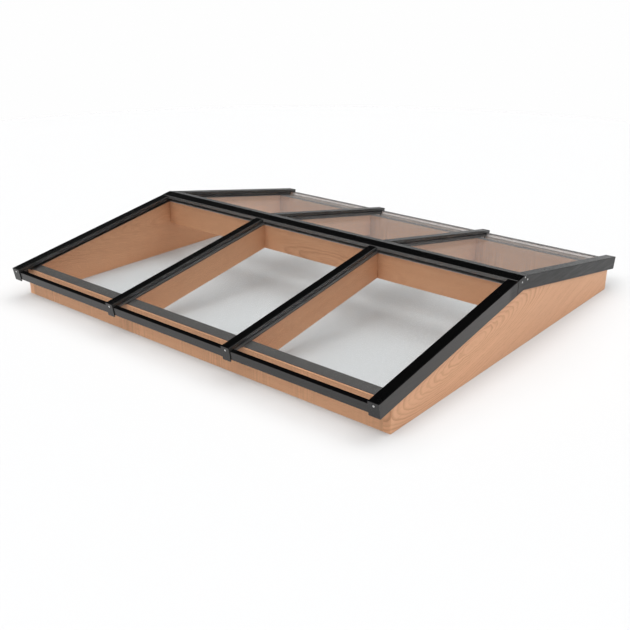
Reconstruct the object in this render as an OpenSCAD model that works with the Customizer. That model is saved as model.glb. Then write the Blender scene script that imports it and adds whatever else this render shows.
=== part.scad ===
// Gable ended roof lantern: a timber kerb with ridge beam and rafters, glazed both slopes.
// X runs along the ridge, Y across the slopes, Z up from the underside of the kerb.
// Each slope is drawn by distance down the slope and height above the timber's top plane.

/* [Kerb] */
// Length of the timber kerb along the ridge
kerb_length = 3000; // [2400:10:3400]
// Width of the timber kerb from eaves to eaves
kerb_width = 2600; // [2000:10:3000]
// Height of the timber at its outer face under the eaves
eaves_height = 174; // [170:1:260]
// Fall of both slopes in degrees
pitch = 10; // [8:0.5:18]

/* [Timber] */
// Thickness of each gable board
gable_t = 45; // [40:1:65]
// Thickness of each eaves board
eaves_t = 75; // [55:1:100]
// Thickness of each rafter
rafter_t = 45; // [40:1:60]
// Depth of a rafter square to the slope
rafter_depth = 165; // [120:1:168]
// Thickness of the ridge beam
beam_t = 100; // [70:1:130]

/* [Glazing] */
// Thickness of one pane
pane_t = 6; // [4:0.5:8]
// Width of the sealed cavity between the panes
cavity = 16; // [12:1:20]
// How far the glass runs down the slope past the kerb
glass_overhang = 96; // [60:1:130]
// Width of the spacer bar round the cavity
spacer_w = 12; // [8:1:16]
// Distance of the spacer bar from the edge of the glass
spacer_inset = 8; // [5:1:12]

/* [Seats] */
// Thickness of the rails and bars that the glass rests on
rail_t = 3; // [2:0.5:5]
// Thickness of the upright stem between two units
stem_t = 6; // [4:0.5:8]
// Height of the stem above the glass
stem_rise = 14; // [12:0.5:15]
// Height of the stem's head that a cap clips under
head_h = 4; // [3:0.5:5]
// Overhang of the head on each side of the stem
head_lip = 1.5; // [1:0.1:2]
// Space between a stem and the edge of the glass
pane_gap = 5; // [4:0.5:7]
// Distance of the eaves rails from the kerb's outer face
rail_setback = 8; // [0:1:20]

/* [Caps] */
// Width of a cap over a glazing bar
bar_cap_w = 60; // [50:1:80]
// Width of a cap over a gable board
verge_cap_w = 70; // [64:1:90]
// Height of the caps above the glass
cap_rise = 22; // [20:0.5:26]
// Wall thickness of the caps
cap_wall = 2.5; // [2:0.1:3]
// Depth of the verge caps and end plates below the top of the caps
leg_depth = 85; // [70:1:100]
// Thickness of a verge cap's outer leg
leg_t = 3; // [2:0.1:4]
// Height of the rubber gaskets between the caps and the glass
gasket_h = 2; // [1.5:0.1:3]
// Space between a gable board and the outer leg
leg_gap = 2; // [1.8:0.1:4]
// Width of the ridge cap from edge to edge
ridge_cap_w = 140; // [130:1:180]
// Open joint between the ridge cap and the caps that run up to it
cap_joint = 5; // [2:0.5:8]

/* [Eaves edge] */
// Wall thickness of the glass edge trims
trim_wall = 3; // [2:0.1:4]
// Depth of a glass edge trim
trim_depth = 52; // [39:1:60]
// Width of the lip on top of the glass
lip_w = 27; // [20:1:50]
// Thickness of the lip
lip_t = 1; // [0.8:0.1:1.5]
// Width of the ledge under the glass
ledge_w = 14; // [10:1:20]
// Thickness of the ledge
ledge_t = 2; // [1.5:0.1:2.5]
// Space between a trim's face and the back of an end plate
end_space = 2; // [1:0.5:8]
// Wall thickness of the end plates
end_wall = 3; // [2:0.1:4]

/* [Hidden] */

// Finishes
timber_colour = "burlywood";
seat_colour = "dimgray";
cap_colour = [0.17, 0.17, 0.18];
trim_colour = [0.13, 0.13, 0.14];
glass_colour = [0.75, 0.85, 0.85, 0.35];
rubber_colour = [0.08, 0.08, 0.08];
spacer_colour = [0.45, 0.45, 0.45];

// Bays on each slope; the outer two have a verge cap on one side
bays = 3;
// Small sizes of the sections
arris = 2.4;
eased = 2;
gasket_set = 0.5;
rib_t = 2;
toe_h = 2;
foot_w = 8;
foot_h = 2;
drip_h = 3;
nose_w = 4;
end_corner = 2;
clip_gap = 0.3;
trim_gap = 0.5;
overrun = 1;

// Heights above the timber's top plane
glass_n = rail_t + 2 * pane_t + cavity;
top_n = glass_n + cap_rise;
lip_n = glass_n + lip_t;
gasket_n = glass_n + gasket_h;
under = cap_rise - cap_wall;

// Distances down the slope
timber_s = kerb_width / 2 / cos(pitch);
glass_s = timber_s + glass_overhang;
fascia_s = glass_s + trim_wall;
cap_s = fascia_s + end_space;
plate_s = cap_s + end_wall;
edge_gap = stem_t / 2 + pane_gap;
glass_start_s = edge_gap;

// Places along the ridge
half_l = kerb_length / 2;
inner_l = half_l - gable_t;
verge_out = half_l + leg_gap + leg_t;
verge_in = verge_out - verge_cap_w;
verge_mid = verge_out - verge_cap_w / 2;
bay_w = 2 * verge_mid / bays;
bar_x = bay_w / 2;
edge_stem_x = half_l - stem_t / 2 - head_lip;

// Places across the slopes
half_w = kerb_width / 2;
apex_z = eaves_height + half_w * tan(pitch);
ridge_y = ridge_cap_w / 2;
cap_y = ridge_y + cap_joint;
beam_y = beam_t / 2;
eaves_in_y = half_w - eaves_t;
rail_y = half_w - rail_setback;
beam_z = plane_z(beam_y, 0) - rafter_depth / cos(pitch);
reach = kerb_length + kerb_width;

// Left and right ends of each bay's glass, trims and eaves rails
glass_edges = bay_edges(edge_stem_x - edge_gap, edge_gap);
lip_edges = bay_edges(verge_in, bar_cap_w / 2);
rail_edges = bay_edges(inner_l, rafter_t / 2);

// Ends of the three bays, from the outermost place and half the width taken at a bar
function bay_edges(outer, half) = [
    [-outer, -bar_x - half], [-bar_x + half, bar_x - half], [bar_x + half, outer]
];

// Height of the plane that lies n above the timber, at a distance y from the ridge line
function plane_z(y, n) = apex_z - y * tan(pitch) + n / cos(pitch);

// Point of the front slope in the Y and Z plane
function slope_point(s, n) = [
    -s * cos(pitch) - n * sin(pitch),
    apex_z - s * sin(pitch) + n * cos(pitch)
];

// Outline of the front slope from its distances and heights
module slope_outline(points) {
    polygon([for (p = points) slope_point(p[0], p[1])]);
}

// Rectangle of the front slope between two distances and two heights
function slope_box(s0, s1, n0, n1) = [
    slope_point(s0, n0), slope_point(s1, n0), slope_point(s1, n1), slope_point(s0, n1)
];

// Solid along X from an outline in the Y and Z plane
module along_x(x0, x1) {
    translate([x0, 0, 0]) rotate([90, 0, 90]) linear_extrude(x1 - x0) children();
}

// Everything on the far side of the vertical plane at y, towards the back
module behind(y) {
    translate([-reach / 2, -y, -reach / 2]) cube([reach, reach, reach]);
}

// Section in X and height, run down the front slope from a vertical cut to a square end
module down_slope(start_y, end_s, start_s = -2 * top_n * tan(pitch)) {
    difference() {
        translate([0, 0, apex_z]) rotate([pitch, 0, 0]) translate([0, -start_s, 0])
            rotate([90, 0, 0]) linear_extrude(end_s - start_s) children();
        behind(start_y);
    }
}

// Piece between two distances down the slope, from its outline in X and height
module across_slope(s0, s1) {
    translate([0, 0, apex_z]) rotate([pitch, 0, 0]) translate([0, -s0, 0])
        rotate([90, 0, 0]) linear_extrude(s1 - s0) children();
}

module on_back() {
    mirror([0, 1, 0]) children();
}

module on_left() {
    mirror([1, 0, 0]) children();
}

// Outline from its right half; a point on the middle line isn't repeated
function both_sides(half) = concat(half, [
    for (i = [len(half) - 1:-1:0]) if (half[i][0] > 0) [-half[i][0], half[i][1]]
]);

// Rectangle from two corners
module box_2d(x0, x1, n0, n1) {
    translate([x0, n0]) square([x1 - x0, n1 - n0]);
}

// Timber

// The board's two upright outer corners are eased
module gable_board() {
    color(timber_colour) difference() {
        along_x(inner_l, half_l) polygon([
            [-half_w, 0], [half_w, 0], [half_w, eaves_height], [0, apex_z],
            [-half_w, eaves_height]
        ]);
        for (back = [0, 1]) mirror([0, back, 0]) translate([half_l, -half_w, -overrun])
            linear_extrude(eaves_height + 2 * overrun) polygon([
                [-eased, 0], [-eased, -overrun], [overrun, -overrun], [overrun, eased],
                [0, eased]
            ]);
    }
}

module eaves_board() {
    color(timber_colour) along_x(-inner_l, inner_l) polygon([
        [-half_w, 0], [-eaves_in_y, 0], [-eaves_in_y, plane_z(eaves_in_y, 0)],
        [-half_w, eaves_height]
    ]);
}

module ridge_beam() {
    color(timber_colour) along_x(-inner_l, inner_l) polygon([
        [-beam_y, beam_z], [beam_y, beam_z], [beam_y, plane_z(beam_y, 0)], [0, apex_z],
        [-beam_y, plane_z(beam_y, 0)]
    ]);
}

module rafter() {
    drop = rafter_depth / cos(pitch);
    color(timber_colour) along_x(bar_x - rafter_t / 2, bar_x + rafter_t / 2) polygon([
        [-beam_y, plane_z(beam_y, 0) - drop], [-beam_y, plane_z(beam_y, 0)],
        [-eaves_in_y, plane_z(eaves_in_y, 0)], [-eaves_in_y, plane_z(eaves_in_y, 0) - drop]
    ]);
}

// Seats for the glass

// Upright stem with the head that a cap clips under
module stem_section() {
    high_n = glass_n + stem_rise;
    polygon(both_sides([
        [stem_t / 2, 0], [stem_t / 2, high_n - head_h],
        [stem_t / 2 + head_lip, high_n - head_h], [stem_t / 2 + head_lip, high_n]
    ]));
}

// The room that the ridge cap takes above the glass
module ridge_room() {
    along_x(-verge_out, verge_out) polygon([
        [-ridge_y, plane_z(ridge_y, glass_n)], [0, plane_z(0, glass_n)],
        [ridge_y, plane_z(ridge_y, glass_n)], [ridge_y, plane_z(ridge_y, 2 * top_n)],
        [-ridge_y, plane_z(ridge_y, 2 * top_n)]
    ]);
}

module glazing_bar() {
    color(seat_colour) union() {
        along_x(bar_x - rafter_t / 2, bar_x + rafter_t / 2) polygon([
            [-beam_y, plane_z(beam_y, 0)], [-beam_y, plane_z(beam_y, rail_t)],
            [-half_w, plane_z(half_w, rail_t)], [-half_w, eaves_height]
        ]);
        difference() {
            down_slope(beam_y, glass_s) translate([bar_x, 0]) stem_section();
            ridge_room();
        }
    }
}

module edge_bar_half() {
    difference() {
        union() {
            along_x(inner_l, half_l) polygon([
                [0, apex_z], [0, plane_z(0, rail_t)], [-half_w, plane_z(half_w, rail_t)],
                [-half_w, eaves_height]
            ]);
            down_slope(0, glass_s) translate([edge_stem_x, 0]) stem_section();
        }
        ridge_room();
    }
}

module edge_bar() {
    color(seat_colour) union() {
        edge_bar_half();
        on_back() edge_bar_half();
    }
}

module eaves_rail() {
    color(seat_colour) for (bay = rail_edges) along_x(bay[0], bay[1]) polygon([
        [-rail_y, plane_z(rail_y, 0)], [-eaves_in_y, plane_z(eaves_in_y, 0)],
        [-eaves_in_y, plane_z(eaves_in_y, rail_t)], [-rail_y, plane_z(rail_y, rail_t)]
    ]);
}

module ridge_rail() {
    color(seat_colour) along_x(-inner_l, inner_l) union() {
        polygon([
            [-beam_y, plane_z(beam_y, 0)], [0, apex_z], [beam_y, plane_z(beam_y, 0)],
            [beam_y, plane_z(beam_y, rail_t)], [0, plane_z(0, rail_t)],
            [-beam_y, plane_z(beam_y, rail_t)]
        ]);
        box_2d(-stem_t / 2, stem_t / 2, apex_z, plane_z(0, glass_n + stem_rise));
    }
}

// Glass

module glass_unit(bay) {
    color(glass_colour) for (n = [rail_t, rail_t + pane_t + cavity])
        along_x(bay[0], bay[1]) polygon(slope_box(glass_start_s, glass_s, n, n + pane_t));
}

// Frame in the cavity of one unit, set in from the edge of the glass
module spacer_frame(bay) {
    translate([0, 0, apex_z]) rotate([pitch, 0, 0]) translate([0, 0, rail_t + pane_t])
        linear_extrude(cavity) difference() {
            inset_pane(bay, spacer_inset);
            inset_pane(bay, spacer_inset + spacer_w);
        }
}

// Outline of one unit, drawn in by a cut on all sides
module inset_pane(bay, cut) {
    box_2d(bay[0] + cut, bay[1] - cut, -glass_s + cut, -glass_start_s - cut);
}

module spacers() {
    color(spacer_colour) for (bay = glass_edges) spacer_frame(bay);
}

// Trim along the lower edge of one unit: a deep wall, a lip on the glass, a ledge under it
module edge_trim(k) {
    low_n = lip_n - trim_depth;
    color(trim_colour) union() {
        along_x(glass_edges[k][0], glass_edges[k][1]) slope_outline([
            [fascia_s, low_n], [fascia_s, glass_n], [glass_s, glass_n], [glass_s, rail_t],
            [glass_s - ledge_w, rail_t], [glass_s - ledge_w, rail_t - ledge_t],
            [glass_s, rail_t - ledge_t], [glass_s, low_n + ledge_t],
            [glass_s - nose_w, low_n + ledge_t], [glass_s - nose_w, low_n]
        ]);
        along_x(lip_edges[k][0], lip_edges[k][1]) slope_outline([
            [fascia_s, rail_t], [fascia_s, lip_n], [glass_s - lip_w, lip_n],
            [glass_s - lip_w, glass_n], [glass_s, glass_n], [glass_s, rail_t]
        ]);
    }
}

// Caps

// Points of the rib that reaches down beside a stem, with a toe under the stem's head
function rib_points() = let (
    rib_x = stem_t / 2 + head_lip + clip_gap,
    toe_x = stem_t / 2 + clip_gap,
    toe_top = stem_rise - head_h - clip_gap
) [
    [rib_x, under], [rib_x, toe_top], [toe_x, toe_top], [toe_x, toe_top - toe_h],
    [rib_x + rib_t, toe_top - toe_h], [rib_x + rib_t, under]
];

// Points of a channel's side: inside face, turned in foot on its gasket, outer face, arris
function side_points(w) = let (foot_x = w - cap_wall - foot_w, foot_top = gasket_h + foot_h) [
    [w - cap_wall, under], [w - cap_wall, foot_top], [foot_x, foot_top], [foot_x, gasket_h],
    [w, gasket_h], [w, cap_rise - arris], [w - arris, cap_rise]
];

// Points turned about the upright line at x
function turned(points, x) = [for (p = points) [x - p[0], p[1]]];

module bar_cap() {
    color(cap_colour) down_slope(cap_y, cap_s) translate([bar_x, glass_n])
        polygon(both_sides(concat(rib_points(), side_points(bar_cap_w / 2))));
}

// Channel with a deep leg in place of its outer side, and a drip against the gable board
module verge_cap() {
    low = cap_rise - leg_depth;
    color(cap_colour) down_slope(cap_y, cap_s) translate([0, glass_n]) polygon(concat(
        turned(rib_points(), edge_stem_x), turned(side_points(verge_cap_w / 2), verge_mid), [
            [verge_out - arris, cap_rise], [verge_out, cap_rise - arris], [verge_out, low],
            [half_l, low], [half_l, low + drip_h], [verge_out - leg_t, low + drip_h],
            [verge_out - leg_t, under]
        ]
    ));
}

// Point of the ridge cap's outline at y, a height n above the timber
function ridge_point(y, n) = [y, plane_z(y, n)];

// Folded channel over the apex, with the same arrises and feet as the other caps
module ridge_cap() {
    wall_y = ridge_y - cap_wall;
    foot_y = wall_y - foot_w;
    color(cap_colour) along_x(-verge_out + leg_t, verge_out - leg_t) polygon(both_sides([
        ridge_point(0, top_n - cap_wall), ridge_point(wall_y, top_n - cap_wall),
        ridge_point(wall_y, gasket_n + foot_h), ridge_point(foot_y, gasket_n + foot_h),
        ridge_point(foot_y, gasket_n), ridge_point(ridge_y, gasket_n),
        ridge_point(ridge_y, top_n - arris), ridge_point(ridge_y - arris, top_n),
        ridge_point(0, top_n)
    ]));
}

// Rubber strip under one foot of a cap: side 0 is the foot on the right, 1 on the left
module foot_gasket(middle, width, side) {
    inner = width / 2 - cap_wall - foot_w;
    down_slope(ridge_y, fascia_s) translate([middle, glass_n]) mirror([side, 0])
        box_2d(inner, width / 2 - gasket_set, 0, gasket_h);
}

module slope_gaskets() {
    foot_gasket(bar_x, bar_cap_w, 0);
    foot_gasket(bar_x, bar_cap_w, 1);
    foot_gasket(verge_mid, verge_cap_w, 1);
}

module ridge_gasket() {
    foot_y = ridge_y - cap_wall - foot_w;
    edge_y = ridge_y - gasket_set;
    along_x(glass_edges[0][0], glass_edges[2][1]) polygon([
        ridge_point(foot_y, glass_n), ridge_point(edge_y, glass_n),
        ridge_point(edge_y, gasket_n), ridge_point(foot_y, gasket_n)
    ]);
}

module cap_gaskets() {
    color(rubber_colour) for (back = [0, 1]) mirror([0, back, 0]) {
        ridge_gasket();
        for (side = [0, 1]) mirror([side, 0, 0]) slope_gaskets();
    }
}

// Closures

// Outline with eased lower corners between two places, down from a height
function plate_points(x0, x1, high_n, inset) = let (
    low = top_n - leg_depth + inset,
    left = x0 + inset,
    right = x1 - inset
) [
    [left, high_n], [left, low + end_corner], [left + end_corner, low],
    [right - end_corner, low], [right, low + end_corner], [right, high_n]
];

// Shallow tray over the end of a cap, with its rim against the glass edge trim
module end_plate(x0, x1, rim_x1) {
    rim_n = glass_n - trim_gap;
    union() {
        across_slope(cap_s, plate_s) polygon(plate_points(x0, x1, top_n, 0));
        across_slope(fascia_s + trim_gap, cap_s) difference() {
            polygon(plate_points(x0, x1, rim_n, 0));
            polygon(plate_points(x0, x1, rim_n + overrun, end_wall));
            box_2d(rim_x1, x1 + overrun, top_n - leg_depth - overrun, rim_n + overrun);
        }
    }
}

module end_plates() {
    color(cap_colour) for (side = [0, 1]) mirror([side, 0, 0]) {
        end_plate(bar_x - bar_cap_w / 2, bar_x + bar_cap_w / 2, bar_x + bar_cap_w / 2);
        end_plate(verge_in, verge_out, verge_out - leg_t);
    }
}

// Plate that closes the ridge cap on the gable, and the joint beside it on the back slope
module ridge_end() {
    color(cap_colour) along_x(verge_out - leg_t, verge_out) polygon([
        [-ridge_y, plane_z(ridge_y, top_n - leg_depth)],
        [0, plane_z(0, top_n - leg_depth)], [cap_y, plane_z(cap_y, top_n - leg_depth)],
        [cap_y, plane_z(cap_y, top_n)], [0, plane_z(0, top_n)],
        [-ridge_y, plane_z(ridge_y, top_n)]
    ]);
}

on_left() gable_board();  // gable_board_left
gable_board();  // gable_board_right
eaves_board();  // eaves_board_front
on_back() eaves_board();  // eaves_board_back
ridge_beam();
on_left() rafter();  // rafter_front_left
rafter();  // rafter_front_right
on_left() on_back() rafter();  // rafter_back_left
on_back() rafter();  // rafter_back_right
on_left() edge_bar();  // edge_bar_left
edge_bar();  // edge_bar_right
on_left() glazing_bar();  // glazing_bar_front_left
glazing_bar();  // glazing_bar_front_right
on_left() on_back() glazing_bar();  // glazing_bar_back_left
on_back() glazing_bar();  // glazing_bar_back_right
eaves_rail();  // eaves_rail_front
on_back() eaves_rail();  // eaves_rail_back
ridge_rail();
glass_unit(glass_edges[0]);  // glass_front_left
glass_unit(glass_edges[1]);  // glass_front_middle
glass_unit(glass_edges[2]);  // glass_front_right
on_back() glass_unit(glass_edges[0]);  // glass_back_left
on_back() glass_unit(glass_edges[1]);  // glass_back_middle
on_back() glass_unit(glass_edges[2]);  // glass_back_right
spacers();  // spacers_front
on_back() spacers();  // spacers_back
cap_gaskets();
edge_trim(0);  // edge_trim_front_left
edge_trim(1);  // edge_trim_front_middle
edge_trim(2);  // edge_trim_front_right
on_back() edge_trim(0);  // edge_trim_back_left
on_back() edge_trim(1);  // edge_trim_back_middle
on_back() edge_trim(2);  // edge_trim_back_right
on_left() verge_cap();  // verge_cap_front_left
verge_cap();  // verge_cap_front_right
on_left() on_back() verge_cap();  // verge_cap_back_left
on_back() verge_cap();  // verge_cap_back_right
on_left() bar_cap();  // bar_cap_front_left
bar_cap();  // bar_cap_front_right
on_left() on_back() bar_cap();  // bar_cap_back_left
on_back() bar_cap();  // bar_cap_back_right
ridge_cap();
end_plates();  // end_plates_front
on_back() end_plates();  // end_plates_back
on_left() ridge_end();  // ridge_end_left
ridge_end();  // ridge_end_right
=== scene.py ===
# %% [markdown]
# A roof lantern in a studio.
# The lantern is a low timber kerb with a ridge beam and rafters, glazed on both slopes and
# trimmed with dark powder coated aluminium. Its construction comes as a finished model, so
# this lesson adds what a model of plain solids lacks: the grain of the timber, the coating
# of the metal, the clearness of the glass, the screws, and the light of a white studio.

# %% Load the construction
import math

import bpy
from mathutils import Matrix, Vector


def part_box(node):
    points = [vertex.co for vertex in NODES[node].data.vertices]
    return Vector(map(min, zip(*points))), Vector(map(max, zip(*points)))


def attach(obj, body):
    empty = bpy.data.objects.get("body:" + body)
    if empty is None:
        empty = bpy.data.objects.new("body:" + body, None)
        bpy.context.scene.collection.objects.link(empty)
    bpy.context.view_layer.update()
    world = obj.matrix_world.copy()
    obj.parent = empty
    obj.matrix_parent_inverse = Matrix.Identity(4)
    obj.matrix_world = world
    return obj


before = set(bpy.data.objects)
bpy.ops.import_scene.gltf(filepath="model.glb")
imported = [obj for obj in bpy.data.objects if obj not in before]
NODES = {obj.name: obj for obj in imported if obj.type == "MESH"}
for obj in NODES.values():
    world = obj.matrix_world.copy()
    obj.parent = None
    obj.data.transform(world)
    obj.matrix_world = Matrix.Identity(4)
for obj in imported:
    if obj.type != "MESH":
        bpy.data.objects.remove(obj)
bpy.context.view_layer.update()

print("pieces of the construction:", len(NODES))

# %% [markdown]
# Measuring the lantern.
# Everything that is added has to sit on the real pieces. The slope, the apex and the height
# of the caps could be typed in again, but then a change in the construction would leave the
# additions behind. So they are worked out from the boxes of a few pieces.

# %% Measure the slopes
gable_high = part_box("gable_board_right")[1]
eaves_low, eaves_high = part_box("eaves_board_front")
ridge_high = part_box("ridge_cap")[1]
plates_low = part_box("end_plates_front")[0]

APEX_Z = gable_high.z
PITCH = math.atan2(APEX_Z - eaves_high.z, -eaves_high.y)
TOP_N = (ridge_high.z - APEX_Z) * math.cos(PITCH)
PLATE_S = (-plates_low.y - TOP_N * math.sin(PITCH)) / math.cos(PITCH)


def slope_point(x, s, n):
    """Point of the front slope, s down from the apex and n above the timber."""
    return Vector((
        x,
        -s * math.cos(PITCH) - n * math.sin(PITCH),
        APEX_Z - s * math.sin(PITCH) + n * math.cos(PITCH),
    ))


print("slope in degrees:", round(math.degrees(PITCH), 3), " top of the caps:", round(TOP_N, 4))

# %% [markdown]
# The camera.
# A product picture is taken with a normal lens from the height of a person who looks down
# on the lantern. The place, the two angles and the focal length were fitted to the corners
# of the kerb and the caps. The turn about the line of sight is a sixth of a degree, which
# still shows on a long straight cap.

# %% Set up the camera
IMAGE_SIDE = 630
SENSOR = 36.0
FOCAL_PIXELS = 872.0
AZIMUTH = math.radians(-39.45)
DOWN = math.radians(22.42)
ROLL = math.radians(0.154)
EYE = Vector((3.557, -4.378, 2.145))

ahead = Vector((
    math.sin(AZIMUTH) * math.cos(DOWN), math.cos(AZIMUTH) * math.cos(DOWN), -math.sin(DOWN)
))
level = Vector((math.cos(AZIMUTH), -math.sin(AZIMUTH), 0))
above = level.cross(ahead)
right = level * math.cos(ROLL) + above * math.sin(ROLL)
up = above * math.cos(ROLL) - level * math.sin(ROLL)

camera_data = bpy.data.cameras.new("camera")
camera_data.sensor_width = SENSOR
camera_data.lens = FOCAL_PIXELS / IMAGE_SIDE * SENSOR
camera = bpy.data.objects.new("camera", camera_data)
camera.matrix_world = Matrix.Translation(EYE) @ Matrix((right, up, -ahead)).transposed().to_4x4()
bpy.context.scene.collection.objects.link(camera)
bpy.context.scene.camera = camera
print("lens in mm:", round(camera_data.lens, 2))

# %% [markdown]
# Sums of sockets.
# A procedural finish is mostly arithmetic: distances, waves and masks. Wired by hand it
# becomes a wall of Math nodes. A small class that wraps one output socket lets Python's own
# operators add those nodes, so that a pattern reads as a formula. Its method `node` makes
# every other kind of node: settings first, because they change the sockets, then values.

# %% Wrap a socket
class Wire:
    """One output socket of a node tree, which Python's operators work on."""

    def __init__(self, socket):
        self.socket = socket

    def node(self, kind, settings, values, output=0):
        """Adds a node of a kind and returns one of its outputs."""
        tree = self.socket.id_data
        made = tree.nodes.new(kind)
        for name, value in settings.items():
            setattr(made, name, value)
        for name, value in values.items():
            if isinstance(value, Wire):
                tree.links.new(value.socket, made.inputs[name])
            else:
                made.inputs[name].default_value = value
        return Wire(made.outputs[output])

    def split(self):
        """X, Y and Z of a vector."""
        parted = self.node("ShaderNodeSeparateXYZ", {}, {0: self})
        return [Wire(socket) for socket in parted.socket.node.outputs]

    def math(self, operation, *values):
        return self.node("ShaderNodeMath", {"operation": operation}, dict(enumerate(values)))

    def __add__(self, other):
        return self.math("ADD", self, other)

    def __radd__(self, other):
        return self.math("ADD", other, self)

    def __sub__(self, other):
        return self.math("SUBTRACT", self, other)

    def __rsub__(self, other):
        return self.math("SUBTRACT", other, self)

    def __mul__(self, other):
        return self.math("MULTIPLY", self, other)

    def __rmul__(self, other):
        return self.math("MULTIPLY", other, self)

    def __truediv__(self, other):
        return self.math("DIVIDE", self, other)

    def __pow__(self, other):
        return self.math("POWER", self, other)

    def __abs__(self):
        return self.math("ABSOLUTE", self)


methods = [name.strip("_") for name, made in vars(Wire).items() if callable(made)]
print("methods of a wire:", ", ".join(methods))

# %% [markdown]
# Helpers for patterns.
# A few small functions cover the patterns of this lantern: a smooth step that turns a value
# into a mask, a noise with its own number of waves per metre for each axis, a blend of two
# colours, and the tone that makes a colour lighter or darker. Colours are blended by a Mix
# node, because a Math node would turn them grey.

# %% Define the pattern helpers
# Numbers of the sockets of a Mix node that blends colours
MIX_SHARE, MIX_FIRST, MIX_SECOND, MIX_RESULT = 0, 6, 7, 2


def smooth(value, low, high):
    """Mask that rises smoothly from 0 at low to 1 at high."""
    return value.node(
        "ShaderNodeMapRange", {"interpolation_type": "SMOOTHSTEP"},
        {"Value": value, "From Min": low, "From Max": high},
    )


def noise(place, waves, shift=0.0, detail=2.0):
    """Noise at a place of three lengths, with a number of waves per metre for each."""
    parts = [length * per_metre + shift for length, per_metre in zip(place, waves)]
    vector = parts[0].node("ShaderNodeCombineXYZ", {}, dict(zip("XYZ", parts)))
    values = {"Vector": vector, "Scale": 1.0, "Detail": detail}
    return vector.node("ShaderNodeTexNoise", {}, values)


def colour(value):
    return value if isinstance(value, Wire) else (*value, 1.0)


def blend(share, first, second):
    """Colour between two colours."""
    values = {MIX_SHARE: share, MIX_FIRST: colour(first), MIX_SECOND: colour(second)}
    return share.node("ShaderNodeMix", {"data_type": "RGBA"}, values, output=MIX_RESULT)


def tone(base, factor):
    """A colour made lighter or darker by a factor that varies."""
    grey = factor.node("ShaderNodeCombineColor", {}, {0: factor, 1: factor, 2: factor})
    settings = {"data_type": "RGBA", "blend_type": "MULTIPLY"}
    values = {MIX_SHARE: 1.0, MIX_FIRST: base, MIX_SECOND: grey}
    return factor.node("ShaderNodeMix", settings, values, output=MIX_RESULT)


HELPERS = (smooth, noise, colour, blend, tone)
print("helpers for patterns:", ", ".join(helper.__name__ for helper in HELPERS))

# %% [markdown]
# Starting a material.
# Each finish begins the same way: an empty node tree with a Principled shader, and the
# Object coordinates of the piece, split into its three axes. The pieces keep their place in
# their mesh, so these coordinates are metres in the lantern's own frame, and one pattern
# runs on over pieces that touch. The direction that a face looks is known in the same frame,
# and tells tops from sides.

# %% Start a material
def coordinates(material, kind):
    """X, Y and Z of one kind of texture coordinates."""
    return Wire(material.node_tree.nodes.new("ShaderNodeTexCoord").outputs[kind]).split()


def start_material(name):
    """New material, its Principled node, and the X, Y and Z of a point in metres."""
    material = bpy.data.materials.new(name)
    material.use_nodes = True
    principled = next(n for n in material.node_tree.nodes if n.type == "BSDF_PRINCIPLED")
    return material, principled, coordinates(material, "Object")


def feed(principled, **inputs):
    """Sets or links sockets of a shader; an underscore stands for a space in a name."""
    tree = principled.id_data
    for name, value in inputs.items():
        socket = principled.inputs[name.replace("_", " ")]
        if isinstance(value, Wire):
            tree.links.new(value.socket, socket)
        else:
            socket.default_value = value


def bump(height, strength, distance):
    values = {"Height": height, "Strength": strength, "Distance": distance}
    return height.node("ShaderNodeBump", {}, values)


def dress(material, *names):
    """Gives a material to pieces of the construction."""
    for name in names:
        slots = NODES[name].material_slots
        for slot in slots:
            slot.material = material
        if not slots:
            NODES[name].data.materials.append(material)


def beginning_with(*beginnings):
    """Names of the pieces that begin with one of the words given."""
    return [name for name in NODES if name.startswith(beginnings)]


print("caps:", len(beginning_with("verge_cap", "bar_cap", "ridge_cap")))

# %% [markdown]
# The timber.
# The boards are an orange brown hardwood, planed and oiled. A board is a flat cut through
# the rings of a tree, and that is also the simplest way to draw it: a point's distance from
# the heart of the tree, bent by slow noise, counted in rings. Where the face cuts close to
# the heart, the rings come out as long nested ovals, and on the end of the board as arcs.
# An image could show one board well, but this pattern gives each board its own cut. The
# coordinates start at the heart, so a board's ovals can be moved as one. A random number for
# each ring makes some years darker than others. Fibres and pores run along the board, and
# the eaves boards also have short flecks across the grain, as quarter cut timber shows them.

# %% Make the timber
LIGHT_WOOD = (0.68, 0.378, 0.216)
DARK_WOOD = (0.43, 0.20, 0.102)
RING = 0.010

# Waves per metre along, across and through a board
BEND_WAVES = (1.3, 4.0, 4.0)
CURL_WAVES = (16.0, 12.0, 10.0)
FIBRE_WAVES = (7.0, 420.0, 420.0)
PORE_WAVES = (24.0, 210.0, 210.0)
BAND_WAVES = (0.7, 22.0, 22.0)
PATCH_WAVES = (0.9, 3.0, 3.0)
FLECK_WAVES = (130.0, 5.0, 9.0)
CLUMP_WAVES = (3.2, 0.0, 0.0)

# A ring darkens slowly to its late wood and then ends quickly. The palest year is a fifth
# as dark as the darkest, and a board's ovals fade out between one and 1.6 fade distances
LATE_WOOD_STARTS, LATE_WOOD_ENDS = 0.3, 0.85
PALEST_YEAR = 0.2
FADED_OUT = 1.6
# Rings curl by a few millimetres, and more within a hand's breadth of the heart
CURL, HEART_CURL = 0.004, 0.016
HEART_NEAR, HEART_FAR = 0.05, 0.16
# How far pores, fibres and bands go towards the dark colour
PORE_DARK, FIBRE_DARK, BAND_DARK = 0.24, 0.3, 0.3
# Values of the noise between which pores, flecks and clumps of flecks come up
PORE_RANGE, FLECK_RANGE, CLUMP_RANGE = (0.52, 0.72), (0.3, 0.7), (0.42, 0.62)


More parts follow.
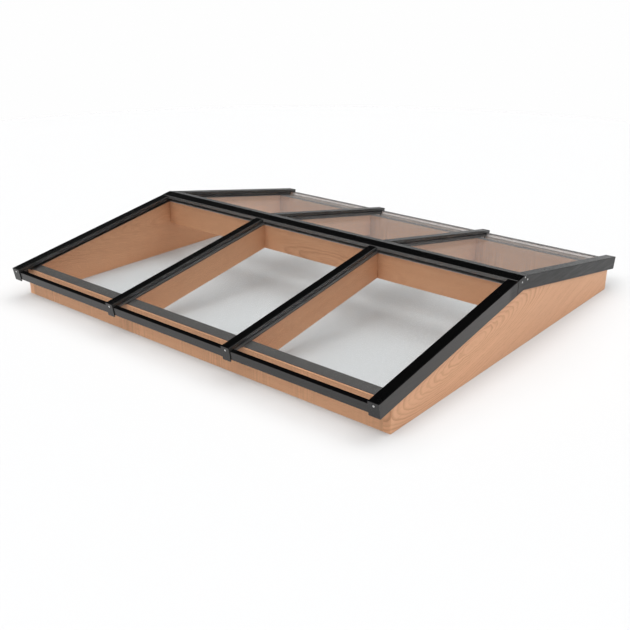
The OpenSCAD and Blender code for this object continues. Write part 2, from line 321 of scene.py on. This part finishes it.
def timber(name, axes_order, heart, seed, stretch=0.1, wander=0.05, flecks=0.0, turn=0.0,
           lift=1.0, contrast=0.45, ring=RING, fade=9.0):
    """Oiled hardwood. The order says which axes run along, across and through the board,
    heart is the middle of the ovals in the same order, stretch makes the ovals long, wander
    bends them, turn tilts the grain, lift is painted light that makes a board lighter or
    darker, ring is the width of one year, and beyond the distance fade the ovals grow faint."""
    material, principled, axes = start_material(name)
    along, across, through = (axes[k] - middle for k, middle in zip(axes_order, heart))
    if turn:
        along, across = (
            along * math.cos(turn) + across * math.sin(turn),
            across * math.cos(turn) - along * math.sin(turn),
        )
    place = (along, across, through)
    slow = noise(place, BEND_WAVES, seed)
    curl = noise(place, CURL_WAVES, seed, 1.0)
    reach = along * stretch
    distance = (reach * reach + across * across + through * through) ** 0.5
    near = 1 - smooth(distance, HEART_NEAR, HEART_FAR)
    bent = distance + (slow - 0.5) * wander + (curl - 0.5) * (CURL + near * HEART_CURL)
    rings = bent / ring
    part = rings.math("FRACT", rings)
    count = rings.math("FLOOR", rings)
    year = count.node("ShaderNodeTexWhiteNoise", {"noise_dimensions": "1D"}, {"W": count})
    late = smooth(part, LATE_WOOD_STARTS, LATE_WOOD_ENDS) * (1 - smooth(part, LATE_WOOD_ENDS, 1.0))
    line = late * (PALEST_YEAR + year * (1 - PALEST_YEAR))
    line = line * (1 - smooth(distance, fade, fade * FADED_OUT))

    fibres = noise(place, FIBRE_WAVES, seed)
    pores = smooth(noise(place, PORE_WAVES, seed), *PORE_RANGE)
    bands = noise(place, BAND_WAVES, seed + 3, 3.0)
    patches = noise(place, PATCH_WAVES, seed + 7)
    depth = (line * contrast * (0.5 + slow) + pores * PORE_DARK + (fibres - 0.5) * FIBRE_DARK
             + bands * BAND_DARK)
    shade = (0.92 + patches * 0.16) * lift
    if flecks:
        streaks = smooth(noise(place, FLECK_WAVES, seed), *FLECK_RANGE) - 0.5
        clumps = smooth(noise(place, CLUMP_WAVES, seed), *CLUMP_RANGE)
        shade = shade + streaks * clumps * flecks
    feed(
        principled,
        Base_Color=tone(blend(depth, LIGHT_WOOD, DARK_WOOD), shade),
        Roughness=0.5 + line * 0.08 + (fibres - 0.5) * 0.12,
        Specular_IOR_Level=0.35,
        Normal=bump(1 - line * 0.35 - pores * 0.8 - fibres * 0.3, 0.35, 0.0005),
    )
    return material


print("rings in a metre of timber:", round(1 / RING))

# %% [markdown]
# The cut of each board.
# A table says where each board was cut from its tree. The right gable board is the one that
# the picture shows best, with its ovals in the front half. The ridge beam shows its ovals
# in the middle bay only, so there they fade with distance. The rafters and the right gable
# board turn their grain, because they were cut on the slope. The lift of each board is painted
# light: the boards that show through the glass are made lighter, because the panes hold some
# of the light back, the right gable and front eaves boards are lighter, and the back eaves
# board darker.

# %% Dress the boards
ALONG_X = (0, 2, 1)
ALONG_Y = (1, 2, 0)
# Boards seen through the glass are painted lighter, as painted light
INDOOR_PAINTED_LIGHT = 1.36
board_middle = (eaves_low.y + eaves_high.y) / 2

# Each board's lift is painted light that makes it lighter or darker
BOARDS = {
    "gable_board_right": dict(
        axes_order=ALONG_Y, heart=(-0.56, 0.212, 1.45), seed=4.0, stretch=0.2, wander=0.03,
        turn=math.radians(9), contrast=0.5, lift=1.24),
    "gable_board_left": dict(
        axes_order=ALONG_Y, heart=(0.35, 0.27, -1.43), seed=9.0, lift=INDOOR_PAINTED_LIGHT, contrast=0.3),
    "eaves_board_front": dict(
        axes_order=ALONG_X, heart=(0.4, -0.25, board_middle), seed=14.0, wander=0.03,
        flecks=0.3, contrast=0.12, lift=1.07),
    "eaves_board_back": dict(
        axes_order=ALONG_X, heart=(-0.5, -0.25, -board_middle), seed=19.0, wander=0.03,
        flecks=0.3, contrast=0.12, lift=0.85),
    "ridge_beam": dict(
        axes_order=ALONG_X, heart=(0.12, 0.25, -0.02), seed=23.0, stretch=0.17, wander=0.03,
        lift=INDOOR_PAINTED_LIGHT * 0.85, contrast=0.6, ring=0.018, fade=0.08),
}
RAFTERS = ("rafter_front_left", "rafter_front_right", "rafter_back_left", "rafter_back_right")
for count, node in enumerate(RAFTERS):
    middle_x = sum(corner.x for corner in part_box(node)) / 2
    BOARDS[node] = dict(
        axes_order=ALONG_Y, heart=(-1.2, 0.45, middle_x - 0.06), seed=31.0 + 5 * count,
        turn=PITCH if "front" in node else -PITCH, contrast=0.12, lift=INDOOR_PAINTED_LIGHT * 0.93)
for node, cut in BOARDS.items():
    short = node.replace("_board", "").replace("_beam", "")
    dress(timber("timber_" + short, **cut), node)
print("timber boards dressed:", len(BOARDS))

# %% [markdown]
# The powder coat.
# The aluminium is sprayed with a dark powder that is baked on and cures to a satin skin with
# a faint orange peel. In the picture the faces that look up are nearly black, and the ones
# that look sideways are a dark grey. Most of that is the studio: the tops mirror a black
# ceiling and the sides a white floor. The rest is painted light: a mask from the direction
# of a face blends two base colours, so the sides are painted lighter than the tops. The deep
# outer legs also have the streaks that a die leaves along an extrusion, and the front legs
# carry a painted sheen that makes them paler than the back ones. The inner faces of the
# trims are painted pale, as painted light, and show there as a pale line through the glass.
# A metallic shader would mirror too much, because the coating is a paint.

# %% Make the powder coat
LEG_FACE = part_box("verge_cap_front_right")[1].x
# The outer face of a leg is told by its place, within a skin of this depth
LEG_SKIN = 0.002
# The front legs are painted towards this grey, a painted sheen with die streaks in it
LEG_SHEEN_GREY = (0.068, 0.064, 0.062)
LEG_DULLER = 0.21
# Y where the painted sheen of a front leg goes dark beside the ridge joint, and where it is
# # palest up the slope
JOINT_SHADE_RANGE, SLOPE_SHEEN_RANGE = (-0.19, -0.13), (-0.9, -0.3)
# How far up a face looks, from a side to a top
SIDE_TO_TOP = (0.5, 0.9)
# Y of a point times Y of its face's direction, from inward to outward faces
INWARD_RANGE = (-1.0, -0.8)
DRAW_WAVES = (3.0, 7.0, 90.0)
DRIFT_WAVES = (3.0, 3.0, 3.0)
PEEL_WAVES = (420.0, 420.0, 420.0)
GRIT_WAVES = (2600.0, 2600.0, 2600.0)


def looks_inward(material, y):
    """Mask of the faces near an eaves that look towards the middle of the lantern."""
    outward = coordinates(material, "Normal")[1] * y
    return 1 - smooth(outward, *INWARD_RANGE)


def leg_streaks_and_sheen(front_leg, draw, y):
    """Painted sheen of a front leg, streaky with die lines: painted dark beside the ridge joint,
    and less pale low down.
    """
    joint_shade = 1 - smooth(y, *JOINT_SHADE_RANGE) * 0.8
    slope_sheen = 0.8 + smooth(y, *SLOPE_SHEEN_RANGE) * 0.5
    return front_leg * (0.1 + draw * 1.1) * joint_shade * slope_sheen


def powder_coat(name, base, side, roughness, specular, seed, painted_inner=None):
    """Powder coat, with a base colour for the faces that look up, a painted light colour for
    the sides, and where given, a painted light colour for the inner faces."""
    material, principled, place = start_material(name)
    x, y = place[:2]
    leg = smooth(abs(x), LEG_FACE - LEG_SKIN, LEG_FACE - LEG_SKIN / 2)
    front_leg = leg * (1 - smooth(y, -0.05, 0.0))
    drift = noise(place, DRIFT_WAVES, seed, 4.0)
    draw = noise(place, DRAW_WAVES, seed, 3.0)
    peel = noise(place, PEEL_WAVES, seed, 3.0)
    grit = noise(place, GRIT_WAVES, seed, 1.0)
    # Painted light: this mask paints the sides lighter than the tops
    painted_side_mask = (1 - smooth(coordinates(material, "Normal")[2], *SIDE_TO_TOP)) * (1 - leg)
    coat = blend(painted_side_mask * (0.7 + drift * 0.6), base, side)
    # Painted light: the inner faces of the trims are painted pale
    if painted_inner:
        coat = blend(looks_inward(material, y), coat, painted_inner)
    satin = roughness - 0.05 + drift * 0.1 + (grit - 0.5) * 0.06
    feed(
        principled,
        Base_Color=blend(leg_streaks_and_sheen(front_leg, draw, y), coat, LEG_SHEEN_GREY),
        Roughness=satin + leg * (LEG_DULLER + (draw - 0.5) * 0.3),
        Specular_IOR_Level=specular,
        Normal=bump(peel + grit * 0.3, 0.12, 0.0004),
    )
    return material


print("outer face of the legs in metres:", round(LEG_FACE, 4))

# %% [markdown]
# One coat for each kind of piece.
# The caps, the folded ridge cap, the end plates and the edge trims share a top colour and
# differ in the painted light of their sides. The seats under the glass are a duller grey, and
# the rail on the ridge beam is painted a pale grey, a painted light for the shade it lies in
# under the ridge cap.

# %% Dress the metal
TOP_BLACK = (0.0015, 0.0015, 0.0016)
SEAT_GREY = (0.086, 0.084, 0.082)
# The ridge rail is painted pale, a painted light against the shade under the ridge cap
RIDGE_PAINTED_GREY = (0.60, 0.595, 0.59)
# The side colour of each coat is painted light, set apart from the top colour
COATS = {
    ("verge_cap", "bar_cap"): dict(
        name="cap_powder_coat", base=TOP_BLACK, side=(0.035, 0.034, 0.033), roughness=0.26,
        specular=0.5, seed=1.0),
    ("ridge_cap",): dict(
        name="fold_powder_coat", base=TOP_BLACK, side=(0.10, 0.098, 0.096), roughness=0.26,
        specular=0.5, seed=3.0),
    ("end_plates", "ridge_end"): dict(
        name="plate_powder_coat", base=TOP_BLACK, side=(0.008, 0.008, 0.008), roughness=0.26,
        specular=0.5, seed=4.0),
    # The pale inner colour of the trims is painted light
    ("edge_trim",): dict(
        name="trim_powder_coat", base=TOP_BLACK, side=(0.010, 0.0095, 0.009), roughness=0.24,
        specular=0.5, seed=6.0, painted_inner=(0.75, 0.74, 0.73)),
    ("edge_bar", "glazing_bar", "eaves_rail"): dict(
        name="seat_powder_coat", base=SEAT_GREY, side=SEAT_GREY, roughness=0.6, specular=0.25,
        seed=11.0),
    ("ridge_rail",): dict(
        name="ridge_painted_light_coat", base=RIDGE_PAINTED_GREY, side=RIDGE_PAINTED_GREY, roughness=0.75,
        specular=0.2, seed=16.0),
}
for beginnings, finish in COATS.items():
    dress(powder_coat(**finish), *beginning_with(*beginnings))
    print(finish["name"], "on", len(beginning_with(*beginnings)), "pieces")

# %% [markdown]
# The rubber and the spacers.
# The gaskets under the caps are extruded rubber, nearly black and dull, with fine die lines
# along the strip. The spacer that holds the two panes apart is an anodised aluminium bar. A
# bar of metal would mirror its surroundings, but anodising etches the surface first, so it
# looks like a dull grey paint. The bars along the lower edges hang out over the kerb, and
# their inner faces there are painted almost white, a painted light for the white light from
# the floor.

# %% Make the rubber and the spacers
# A bar hangs out over the kerb where it lies this far past the eaves board
PAST_THE_BOARD = 0.03
OVER_THE_KERB = -eaves_low.y + PAST_THE_BOARD
OVERHANG_FADE = 0.005
SPACER_GREY = (0.125, 0.125, 0.125)
# Painted light: the inner faces over the kerb are painted this near white
SPACER_PAINTED_WHITE = (0.94, 0.94, 0.94)
RUBBER_LINES = 700.0
SPACER_LINES = 160.0
LUMP_WAVES = (90.0, 90.0, 90.0)
CLOUD_WAVES = (60.0, 60.0, 60.0)


def die_lines(place, per_metre):
    """Fine lines along a strip that runs either way."""
    return noise(place, (per_metre, 1.0, per_metre), 2.0)


def gasket_rubber(name):
    material, principled, place = start_material(name)
    lines = die_lines(place, RUBBER_LINES)
    lumps = noise(place, LUMP_WAVES, 5.0, 3.0)
    feed(
        principled,
        Base_Color=blend(lumps, (0.008, 0.008, 0.008), (0.017, 0.017, 0.017)),
        Roughness=0.6 + (lines - 0.5) * 0.2,
        Normal=bump(lines * 0.5 + lumps, 0.4, 0.0003),
    )
    return material


def anodised_spacer(name):
    material, principled, place = start_material(name)
    lines = die_lines(place, SPACER_LINES)
    cloud = noise(place, CLOUD_WAVES, 5.0, 3.0)
    # Faces over the kerb that look inward are painted almost white, as painted light
    outside = smooth(abs(place[1]), OVER_THE_KERB, OVER_THE_KERB + OVERHANG_FADE)
    grey = blend(outside * looks_inward(material, place[1]), SPACER_GREY, SPACER_PAINTED_WHITE)
    feed(
        principled,
        Base_Color=tone(grey, 0.8 + cloud * 0.4),
        Roughness=0.55 + (lines - 0.5) * 0.2,
        Normal=bump(lines, 0.2, 0.0002),
    )
    return material


dress(gasket_rubber("gasket_rubber"), "cap_gaskets")
dress(anodised_spacer("anodised_spacer"), *beginning_with("spacers"))
print("spacer frames dressed:", len(beginning_with("spacers")))

# %% [markdown]
# The glass.
# Each unit is two flat panes, so what is behind it shows unbent. A full glass shader would
# bend the light in every pane and make soft shadows noisy. Here each face lets light
# straight through and mirrors a share of it. Real glass mirrors a twentieth head on and more
# and more towards grazing; a fifth power of the angle is the usual short form of that curve.
# A ray to the floor crosses four faces, so the share at grazing is kept lower than in
# nature, or the far slope would lose the timber behind it. Layer Weight gives the angle from
# both sides of a face alike.

# %% Make the glass
MIRRORED_HEAD_ON = 0.057
MIRRORED_GRAZING = 0.3
GRAZING_POWER = 5.0
FILM_WAVES = (5.0, 5.0, 5.0)


def clear_glass(name):
    material, principled, place = start_material(name)
    facing = Wire(material.node_tree.nodes.new("ShaderNodeLayerWeight").outputs["Facing"])
    more = (MIRRORED_GRAZING - MIRRORED_HEAD_ON) * facing ** GRAZING_POWER
    film = noise(place, FILM_WAVES, 3.0, 5.0)
    feed(
        principled,
        Base_Color=(1.0, 1.0, 1.0, 1.0),
        Metallic=1.0,
        Roughness=0.01 + film * 0.02,
        Alpha=MIRRORED_HEAD_ON + more,
    )
    return material


dress(clear_glass("clear_glass"), *beginning_with("glass_"))
print("glass units dressed:", len(beginning_with("glass_")))

# %% [markdown]
# The screws.
# A flat headed screw with a six sided socket holds each end plate: one at the eaves end of a
# cap and three on each ridge end plate. Fourteen copies of one shape are a task for Geometry
# Nodes: a mesh of single points says where the screws sit, a stored direction says where
# they look, and one head is instanced on all of them.

# %% Place the screws
# How far below a cap's top its screw sits, and for the ridge end plates the place across
# and the drop of each of the three
EAVES_SCREW_DROP = 0.020
RIDGE_SCREWS = ((0.008, 0.010), (-0.024, 0.032), (0.040, 0.032))


def mirrored_pair(point, axis):
    """A point and its mirror image about the plane square to an axis."""
    other = point.copy()
    other[axis] = -other[axis]
    return [point, other]


def screw_places():
    """Places and outward directions of all the screws."""
    down_slope = Vector((0, -math.cos(PITCH), -math.sin(PITCH)))
    found = []
    for name in beginning_with("bar_cap_front", "verge_cap_front"):
        low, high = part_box(name)
        middle = slope_point((low.x + high.x) / 2, PLATE_S, TOP_N - EAVES_SCREW_DROP)
        found += zip(mirrored_pair(middle, 1), mirrored_pair(down_slope, 1))
    end_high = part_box("ridge_end_right")[1]
    for y, drop in RIDGE_SCREWS:
        spot = Vector((end_high.x, y, end_high.z - drop))
        found += zip(mirrored_pair(spot, 0), mirrored_pair(Vector((1, 0, 0)), 0))
    return found


places = screw_places()
points = bpy.data.meshes.new("screw_points")
points.from_pydata([tuple(spot) for spot, facing in places], [], [])
looks = points.attributes.new("looks", "FLOAT_VECTOR", "POINT")
looks.data.foreach_set("vector", [c for spot, facing in places for c in facing])
print("screws:", len(places))

# %% [markdown]
# The screw's shape.
# The head is a flattened ball, cut flat underneath and hollowed by a six sided prism. The
# tree has its sizes as named inputs, so the same tree could make any such head.

# %% Build the screw tree
SCREW_SIZES = {"Head radius": 0.006, "Head height": 0.0015,
               "Socket radius": 0.0022, "Socket depth": 0.001}
BALL_SEGMENTS, BALL_RINGS = 24, 16
BLOCK = 0.1


def add_node(tree, kind, settings=None, **links):
    """Adds a geometry node and sets or links its inputs by name."""
    made = tree.nodes.new(kind)
    for name, value in (settings or {}).items():
        setattr(made, name, value)
    for name, value in links.items():
        socket = made.inputs[name.replace("_", " ")]
        if isinstance(value, bpy.types.NodeSocket):
            tree.links.new(value, socket)
        else:
            socket.default_value = value
    return made


def screw_tree(steel):
    """Tree that turns single points into screw heads."""
    tree = bpy.data.node_groups.new("flat_head_screws", "GeometryNodeTree")
    tree.interface.new_socket("Points", in_out="INPUT", socket_type="NodeSocketGeometry")
    for name in SCREW_SIZES:
        tree.interface.new_socket(name, in_out="INPUT", socket_type="NodeSocketFloat")
    tree.interface.new_socket("Screws", in_out="OUTPUT", socket_type="NodeSocketGeometry")
    given = tree.nodes.new("NodeGroupInput").outputs

    ball = add_node(tree, "GeometryNodeMeshUVSphere", Segments=BALL_SEGMENTS, Rings=BALL_RINGS,
                    Radius=1.0)
    size = add_node(tree, "ShaderNodeCombineXYZ", X=given["Head radius"],
                    Y=given["Head radius"], Z=given["Head height"])
    shaped = add_node(tree, "GeometryNodeTransform", Geometry=ball.outputs[0],
                      Scale=size.outputs[0])
    block = add_node(tree, "GeometryNodeMeshCube", Size=(BLOCK, BLOCK, BLOCK))
    under = add_node(tree, "GeometryNodeTransform", Geometry=block.outputs[0],
                     Translation=(0, 0, -BLOCK / 2))
    prism = add_node(tree, "GeometryNodeMeshCylinder", Vertices=6,
                     Radius=given["Socket radius"], Depth=given["Socket depth"])
    lift = add_node(tree, "ShaderNodeCombineXYZ", Z=given["Head height"])
    socket = add_node(tree, "GeometryNodeTransform", Geometry=prism.outputs[0],
                      Translation=lift.outputs[0])
    cut = add_node(tree, "GeometryNodeMeshBoolean", {"operation": "DIFFERENCE"})
    tree.links.new(shaped.outputs[0], cut.inputs[0])
    tree.links.new(under.outputs[0], cut.inputs[1])
    tree.links.new(socket.outputs[0], cut.inputs[1])

    looks_at = add_node(tree, "GeometryNodeInputNamedAttribute",
                        {"data_type": "FLOAT_VECTOR"}, Name="looks")
    turned = add_node(tree, "FunctionNodeAlignRotationToVector", {"axis": "Z"},
                      Vector=looks_at.outputs[0])
    spread = add_node(tree, "GeometryNodeInstanceOnPoints", Points=given["Points"],
                      Instance=cut.outputs[0], Rotation=turned.outputs[0])
    real = add_node(tree, "GeometryNodeRealizeInstances", Geometry=spread.outputs[0])
    painted = add_node(tree, "GeometryNodeSetMaterial", Geometry=real.outputs[0],
                       Material=steel)
    leaving = tree.nodes.new("NodeGroupOutput")
    tree.links.new(painted.outputs[0], leaving.inputs[0])
    return tree


print("sizes of a screw head in metres:", SCREW_SIZES)

# %% [markdown]
# Steel for the screws.
# The heads are plain stainless steel, the only bright metal on the lantern. They are small,
# so fine turning marks are enough.

# %% Make the screws
MARK_WAVES = (900.0, 900.0, 900.0)


def stainless(name):
    material, principled, place = start_material(name)
    marks = noise(place, MARK_WAVES, 1.0)
    feed(
        principled,
        Base_Color=blend(marks, (0.55, 0.55, 0.54), (0.78, 0.78, 0.77)),
        Metallic=1.0,
        Roughness=0.28 + marks * 0.12,
    )
    return material


holder = bpy.data.objects.new("screw_points", points)
bpy.context.scene.collection.objects.link(holder)
modifier = holder.modifiers.new("screws", "NODES")
modifier.node_group = screw_tree(stainless("screw_steel"))
for item in modifier.node_group.interface.items_tree:
    if item.name in SCREW_SIZES:
        modifier[item.identifier] = SCREW_SIZES[item.name]
evaluated = holder.evaluated_get(bpy.context.evaluated_depsgraph_get())
screw_mesh = bpy.data.meshes.new_from_object(evaluated)
holder.modifiers.remove(modifier)
bpy.data.objects.remove(holder)
screws = bpy.data.objects.new("end_plate_screws", screw_mesh)
bpy.context.scene.collection.objects.link(screws)
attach(screws, "root")
print("faces of the screws:", len(screw_mesh.polygons))

# %% [markdown]
# The floor.
# The lantern stands on endless white paper. The floor is one large disc, and beyond its rim
# the world takes over. The paint is a middle grey under strong lamps: that looks as white as
# white paint under weak ones, but throws less brown light from the timber back and forth.
# Inside the kerb, where timber stands all round, the paper is painted a touch cooler: a
# painted tint against the brown light that the timber throws on it, so that it stays grey
# there as in the picture.

# %% Lay the floor
FLOOR_RADIUS = 8.0
FLOOR_SIDES = 96
PAPER = (0.602, 0.603, 0.605)
# Painted tint inside the kerb, against the brown light thrown from the timber
BOUNCE_CANCELLING_PAPER = (0.594, 0.627, 0.641)
COOL_FADE = 0.15


def within(length, limit):
    """Mask of the floor between two opposite sides of the kerb."""
    return 1 - smooth(abs(length), limit - COOL_FADE, limit + COOL_FADE)


turns = [math.tau * k / FLOOR_SIDES for k in range(FLOOR_SIDES)]
rim = [(FLOOR_RADIUS * math.cos(t), FLOOR_RADIUS * math.sin(t), 0.0) for t in turns]
floor_mesh = bpy.data.meshes.new("floor")
floor_mesh.from_pydata(rim, [], [tuple(range(FLOOR_SIDES))])
floor = bpy.data.objects.new("floor", floor_mesh)
bpy.context.scene.collection.objects.link(floor)
floor_paint, floor_shader, floor_axes = start_material("floor_paint")
inside_kerb = within(floor_axes[0], gable_high.x) * within(floor_axes[1], -eaves_low.y)
feed(floor_shader, Base_Color=blend(inside_kerb, PAPER, BOUNCE_CANCELLING_PAPER), Roughness=1.0,
     Specular_IOR_Level=0.0)
floor_mesh.materials.append(floor_paint)
print("floor radius in metres:", FLOOR_RADIUS)

# %% [markdown]
# The light.
# The shadows in the picture tell where the lamps are. Under the glass the bars cast two soft
# crossing shadows, so two lamps of middling width stand in front and behind. Round the kerb
# the shadow is wide and faint, which takes a very wide lamp overhead. Their strengths were
# found by rendering each lamp alone and fitting the sum to the floor of the photo.
# The world has two jobs. What the glass and the metal mirror is pale walls near the horizon,
# a black ceiling, and one softbox behind, which puts a glint on the screws. What the camera
# sees past the floor is plain white paper, so the picture has no horizon. The Light Path
# node tells the two apart.

# %% Light the studio
# Strength, width in degrees and the direction that the light comes from
LAMPS = {
    "dome": (0.46, 150, (0.0, 0.0, 1.0)),
    "overhead": (2.62, 100, (0.0, 0.0, 1.0)),
    "front": (1.29, 36, (-0.04, -0.29, 0.35)),
    "back": (0.90, 40, (0.0, 0.10, 0.35)),
}
WALL_LIGHT = 0.36
WALL_FULL, WALL_GONE = 0.10, 0.45
CEILING_LIGHT = 0.002
PAPER_WHITE = 0.992
SOFTBOX_LIGHT = 1.6
SOFTBOX_FROM = Vector((0.36, 0.60, 0.71)).normalized()
SOFTBOX_RADIUS = math.radians(14)
SOFTBOX_CORE = 0.7

for name, (strength, degrees, source) in LAMPS.items():
    lamp_data = bpy.data.lights.new(name, "SUN")
    lamp_data.energy = strength
    lamp_data.angle = math.radians(degrees)
    lamp = bpy.data.objects.new(name, lamp_data)
    lamp.rotation_euler = Vector(source).to_track_quat("Z", "Y").to_euler()
    lamp.visible_glossy = False
    bpy.context.scene.collection.objects.link(lamp)

world = bpy.data.worlds.new("studio")
bpy.context.scene.world = world
world.use_nodes = True
background = next(n for n in world.node_tree.nodes if n.type == "BACKGROUND")
direction = Wire(world.node_tree.nodes.new("ShaderNodeTexCoord").outputs["Generated"])
walls = 1 - smooth(direction.split()[2], WALL_FULL, WALL_GONE)
toward = direction.node("ShaderNodeVectorMath", {"operation": "DOT_PRODUCT"},
                        {0: direction, 1: SOFTBOX_FROM}, output=1)
softbox = smooth(toward, math.cos(SOFTBOX_RADIUS), math.cos(SOFTBOX_RADIUS * SOFTBOX_CORE))
mirrored = CEILING_LIGHT + walls * (WALL_LIGHT - CEILING_LIGHT) + softbox * SOFTBOX_LIGHT
seen = Wire(world.node_tree.nodes.new("ShaderNodeLightPath").outputs["Is Camera Ray"])
feed(background, Color=(1.0, 1.0, 1.0, 1.0), Strength=mirrored + seen * (PAPER_WHITE - mirrored))
bpy.context.scene.view_settings.view_transform = "Standard"
print("lamps:", len(LAMPS))

# %% [markdown] The dressed lantern, with its screws on the end plates.
# The dressed lantern has to keep to the construction's box, but for the heads of its
# screws.
